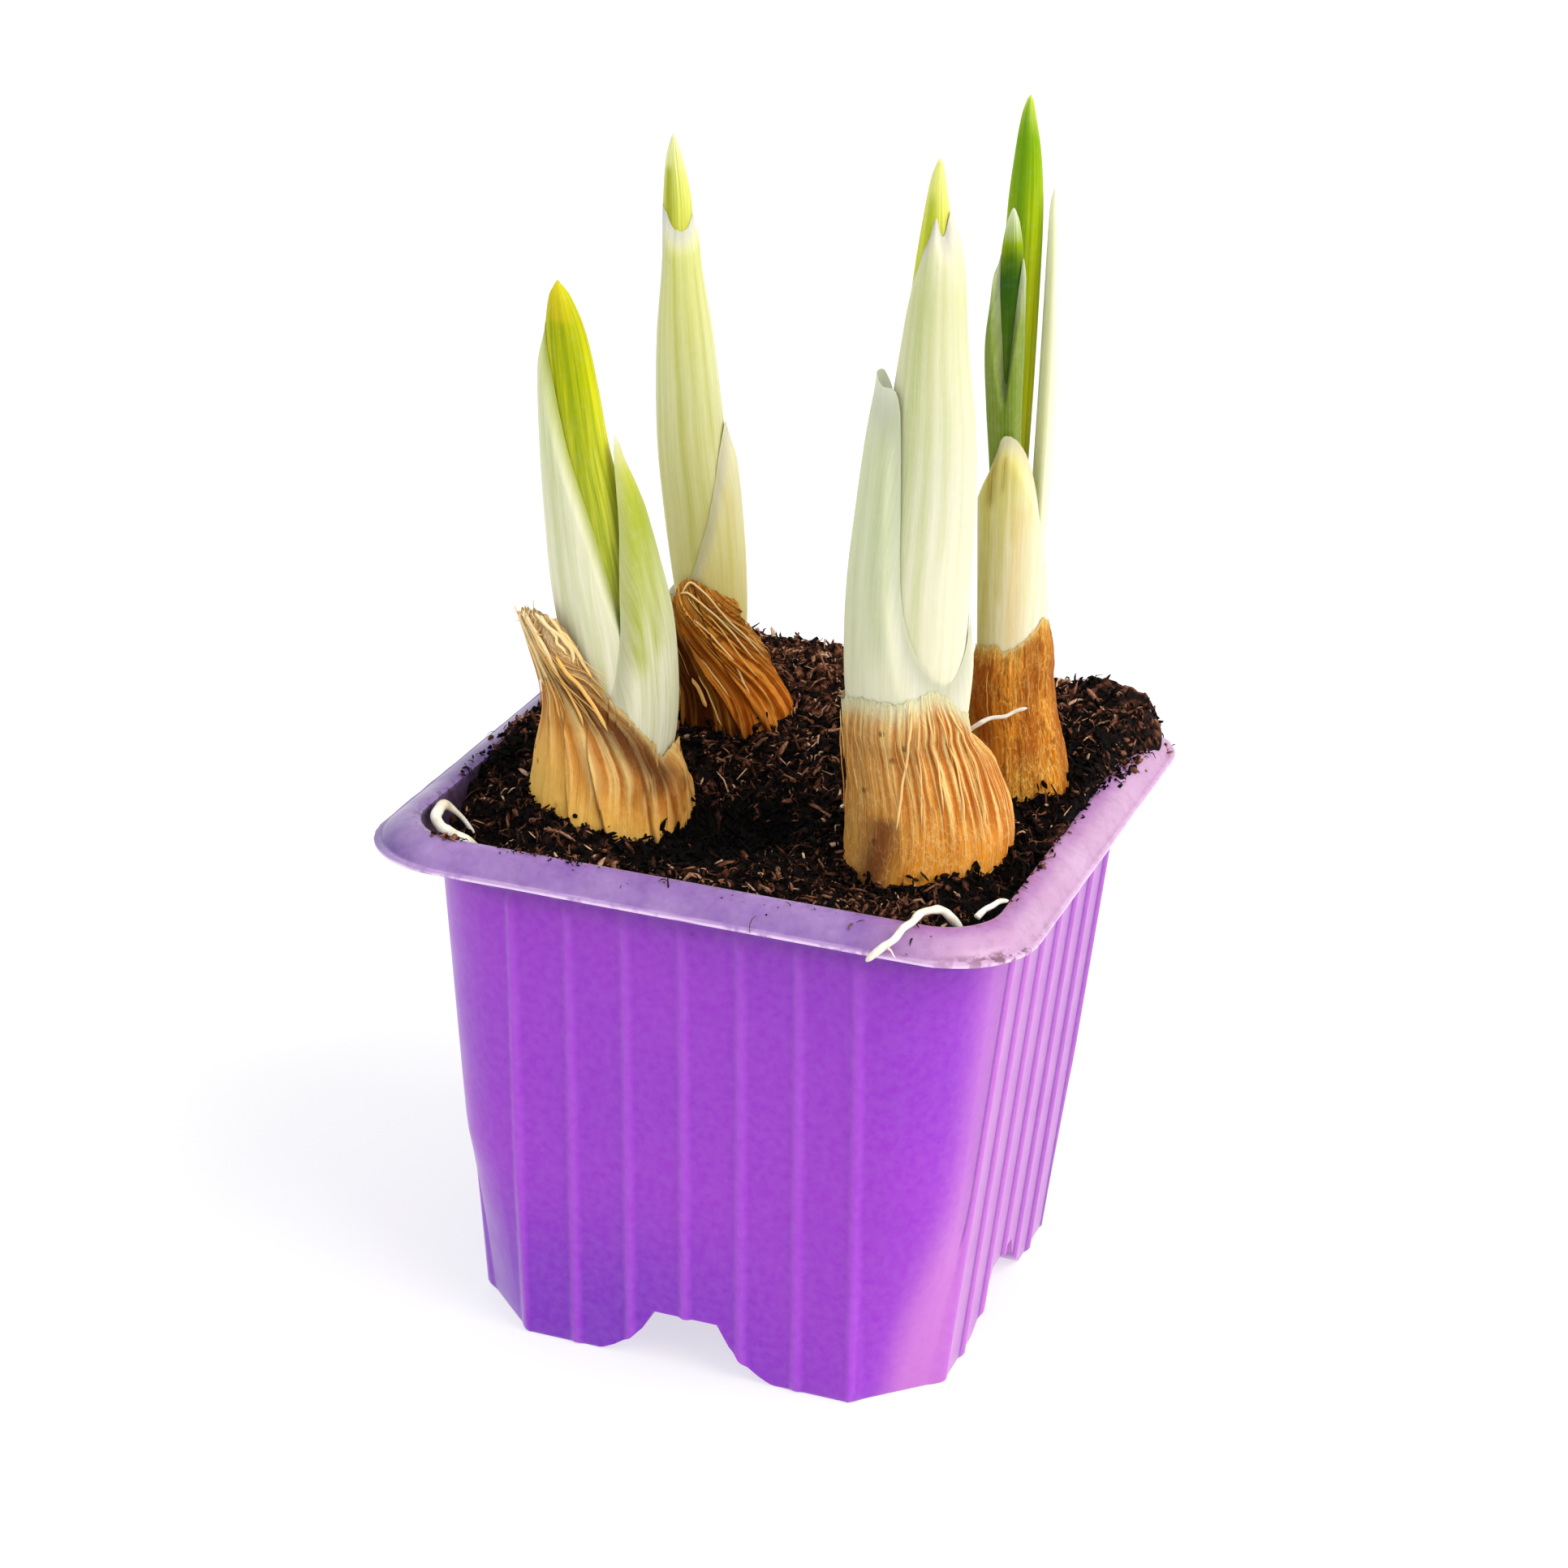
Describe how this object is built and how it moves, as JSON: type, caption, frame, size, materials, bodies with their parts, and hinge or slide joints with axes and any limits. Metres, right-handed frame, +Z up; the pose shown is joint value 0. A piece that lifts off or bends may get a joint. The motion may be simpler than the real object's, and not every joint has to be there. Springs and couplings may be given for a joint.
{
  "type": "potted iris",
  "caption": "Square ribbed plastic pot filled with dark peat, with sprouting dwarf iris bulbs in fibrous brown tunics, pale sheaths and green leaf tips.",
  "frame": {"origin": "middle of the pot's base, on the plane it stands on", "axes": "+Z up, -Y to the front of the pot, +X to its right"},
  "size_m": [0.09, 0.09, 0.1676],
  "materials": {
    "pot": "semi-gloss purple, slightly translucent",
    "soil": "moist dark peat with red-brown fibres",
    "tunic": "dry golden-brown netted fibre",
    "sheath": "waxy pale green-white, fine parallel veins",
    "leaf": "satin yellow-green, fine parallel veins",
    "root": "smooth white"
  },
  "bodies": {
    "root": {"pot": "pot", "soil": "soil", "front_left_bulb": "tunic", "front_left_leaf": "leaf", "front_left_left_sheath": "sheath", "front_left_right_sheath": "sheath", "back_left_bulb": "tunic", "back_left_leaf": "leaf", "back_left_inner_sheath": "sheath", "back_left_outer_sheath": "sheath", "front_right_bulb": "tunic", "front_right_leaf": "leaf", "front_right_inner_sheath": "sheath", "front_right_outer_sheath": "sheath", "back_right_bulb": "tunic", "back_right_tall_leaf": "leaf", "back_right_short_leaf": "leaf", "back_right_pale_leaf": "leaf", "back_right_split_sheath": "sheath", "back_right_outer_sheath": "sheath", "rim_root": "root", "corner_root": "root", "front_root": "root", "back_root": "root"}
  },
  "joints": []
}
